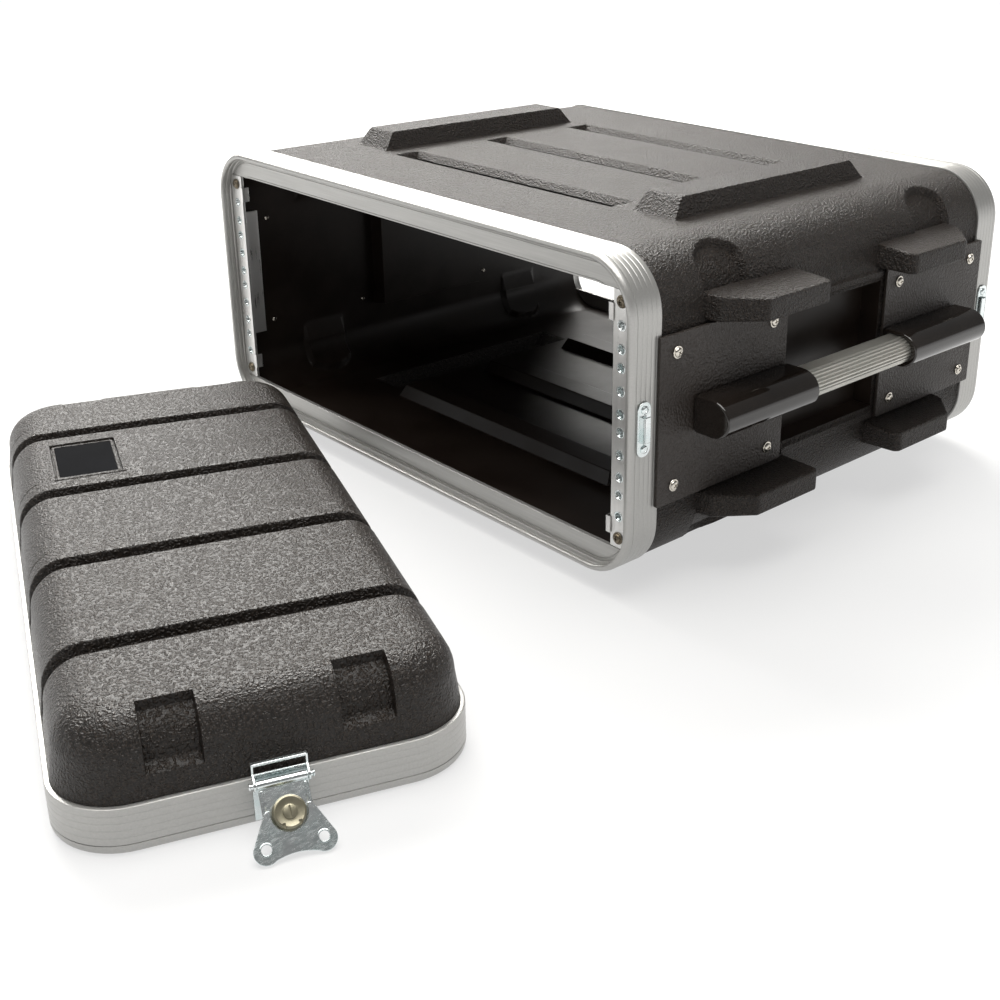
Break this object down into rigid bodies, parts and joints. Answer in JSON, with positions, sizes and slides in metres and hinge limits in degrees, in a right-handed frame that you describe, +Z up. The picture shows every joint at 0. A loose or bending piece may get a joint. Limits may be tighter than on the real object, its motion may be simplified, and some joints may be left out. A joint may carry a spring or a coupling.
{
  "type": "equipment rack case",
  "caption": "Moulded rack case with ridged aluminium frames, front rack rails, bar handles and a lift-off grooved lid with butterfly latches.",
  "frame": {"origin": "on the floor, under the middle of the whole box of the case and the lid lying in front of it", "axes": "+Z up; +Y from the open front of the case to its rear; +X to the right, seen from the front"},
  "size_m": [0.608, 0.8022, 0.25],
  "materials": {
    "abs_black": "moulded ABS with a pebble grain outside",
    "frame_aluminium": "satin, extruded with fine ridges",
    "tube_aluminium": "satin, fluted",
    "rail_steel": "zinc plated",
    "plate_black": "fine textured powder coat",
    "cap_black": "polished",
    "screw_nickel": "nickel plated",
    "screw_dark": "dark passivated",
    "rotor_olive": "passivated, slightly olive",
    "badge_dark": "gloss, blank",
    "zinc": "bright zinc plating"
  },
  "bodies": {
    "case": {"body_shell": "abs_black", "front_frame": "frame_aluminium", "rear_frame": "frame_aluminium", "rack_rail_left": "rail_steel", "rack_rail_right": "rail_steel", "rail_screw_left_lower": "screw_dark", "rail_screw_left_upper": "screw_dark", "rail_screw_right_lower": "screw_dark", "rail_screw_right_upper": "screw_dark", "handle_tube_left": "tube_aluminium", "handle_cap_left_front": "cap_black", "handle_cap_left_rear": "cap_black", "handle_plate_left_front": "plate_black", "handle_plate_left_rear": "plate_black", "handle_tube_right": "tube_aluminium", "handle_cap_right_front": "cap_black", "handle_cap_right_rear": "cap_black", "handle_plate_right_front": "plate_black", "handle_plate_right_rear": "plate_black", "plate_screw_left_front_inner_lower": "screw_nickel", "plate_screw_left_front_inner_upper": "screw_nickel", "plate_screw_left_front_outer_lower": "screw_nickel", "plate_screw_left_front_outer_upper": "screw_nickel", "plate_screw_left_rear_inner_lower": "screw_nickel", "plate_screw_left_rear_inner_upper": "screw_nickel", "plate_screw_left_rear_outer_lower": "screw_nickel", "plate_screw_left_rear_outer_upper": "screw_nickel", "plate_screw_right_front_inner_lower": "screw_nickel", "plate_screw_right_front_inner_upper": "screw_nickel", "plate_screw_right_front_outer_lower": "screw_nickel", "plate_screw_right_front_outer_upper": "screw_nickel", "plate_screw_right_rear_inner_lower": "screw_nickel", "plate_screw_right_rear_inner_upper": "screw_nickel", "plate_screw_right_rear_outer_lower": "screw_nickel", "plate_screw_right_rear_outer_upper": "screw_nickel", "keeper_left_front": "zinc", "keeper_left_rear": "zinc", "keeper_right_front": "zinc", "keeper_right_rear": "zinc"},
    "lid": {"lid_shell": "abs_black", "lid_frame": "frame_aluminium", "lid_badge_plate": "badge_dark", "far_latch_base": "zinc", "far_latch_pin": "zinc", "near_latch_base": "zinc", "near_latch_pin": "zinc"},
    "far_latch_draw": {"far_latch_draw_plate": "zinc"},
    "far_latch_rotor": {"far_latch_rotor": "rotor_olive"},
    "far_latch_wing": {"far_latch_wing": "zinc"},
    "near_latch_draw": {"near_latch_draw_plate": "zinc"},
    "near_latch_rotor": {"near_latch_rotor": "rotor_olive"},
    "near_latch_wing": {"near_latch_wing": "zinc"}
  },
  "joints": [
    {"name": "lid_lift", "type": "slide", "parent": "case", "child": "lid", "axis": [0, 0, 1], "range_m": [0, 0.3]},
    {"name": "far_latch_swing", "type": "hinge", "parent": "lid", "child": "far_latch_draw", "pos_m": [-0.2091, -0.1349, 0.027], "axis": [0.342, 0.9397, 0], "range_deg": [-43, 26]},
    {"name": "far_rotor_turn", "type": "hinge", "parent": "far_latch_draw", "child": "far_latch_rotor", "pos_m": [-0.22285, -0.12989, 0.01747], "axis": [-0.6794, 0.2473, 0.6909], "range_deg": [-90, 90]},
    {"name": "far_wing_fold", "type": "hinge", "parent": "far_latch_rotor", "child": "far_latch_wing", "pos_m": [-0.22292, -0.12987, 0.01754], "axis": [0.342, 0.9397, 0], "range_deg": [0, 90]},
    {"name": "near_latch_swing", "type": "hinge", "parent": "lid", "child": "near_latch_draw", "pos_m": [0.26921, -0.30899, 0.027], "axis": [-0.342, -0.9397, 0], "range_deg": [-43, 26]},
    {"name": "near_rotor_turn", "type": "hinge", "parent": "near_latch_draw", "child": "near_latch_rotor", "pos_m": [0.28296, -0.31399, 0.01747], "axis": [0.6794, -0.2473, 0.6909], "range_deg": [-90, 90]},
    {"name": "near_wing_fold", "type": "hinge", "parent": "near_latch_rotor", "child": "near_latch_wing", "pos_m": [0.28303, -0.31402, 0.01754], "axis": [-0.342, -0.9397, 0], "range_deg": [0, 90]}
  ]
}
